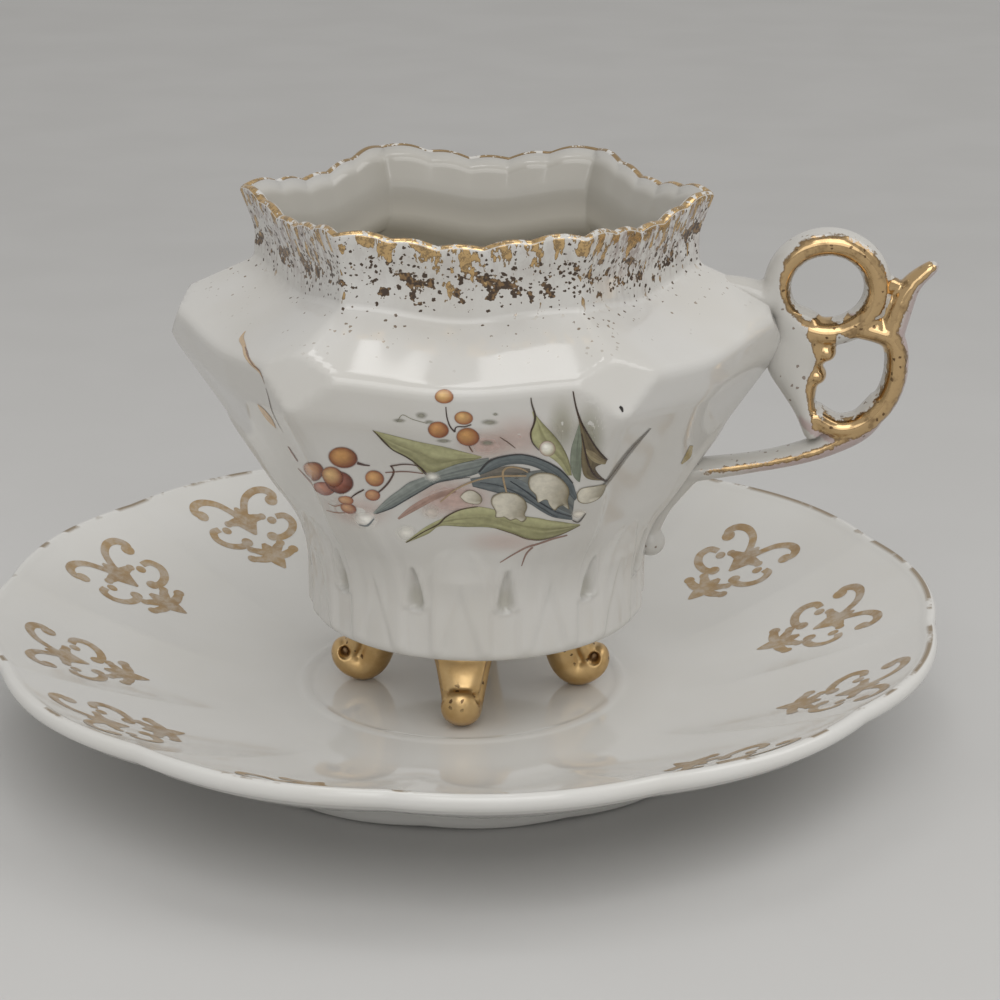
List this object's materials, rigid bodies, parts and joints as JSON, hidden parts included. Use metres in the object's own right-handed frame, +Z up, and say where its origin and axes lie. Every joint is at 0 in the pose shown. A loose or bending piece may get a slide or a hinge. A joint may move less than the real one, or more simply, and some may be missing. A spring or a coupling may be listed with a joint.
{
  "type": "demitasse cup and saucer",
  "caption": "Small footed coffee cup with a hexagonal body, scalloped rim and openwork scroll handle, standing on a lobed saucer with a foot ring.",
  "frame": {"origin": "centre of the saucer's foot ring, on the table", "axes": "+Z up, +X towards the cup's handle, -Y towards the viewer of the painted side"},
  "size_m": [0.1202, 0.1202, 0.0703],
  "materials": {
    "porcelain": "glossy white glaze",
    "gilt": "burnished gold over glazed porcelain"
  },
  "bodies": {
    "saucer": {"saucer": "porcelain"},
    "cup": {"cup_body": "porcelain", "handle": "porcelain", "foot_right": "gilt", "foot_back": "gilt", "foot_left": "gilt", "foot_front": "gilt"}
  },
  "joints": [
    {"name": "cup_lift", "type": "slide", "parent": "saucer", "child": "cup", "axis": [0, 0, 1], "range_m": [0, 0.08]}
  ]
}
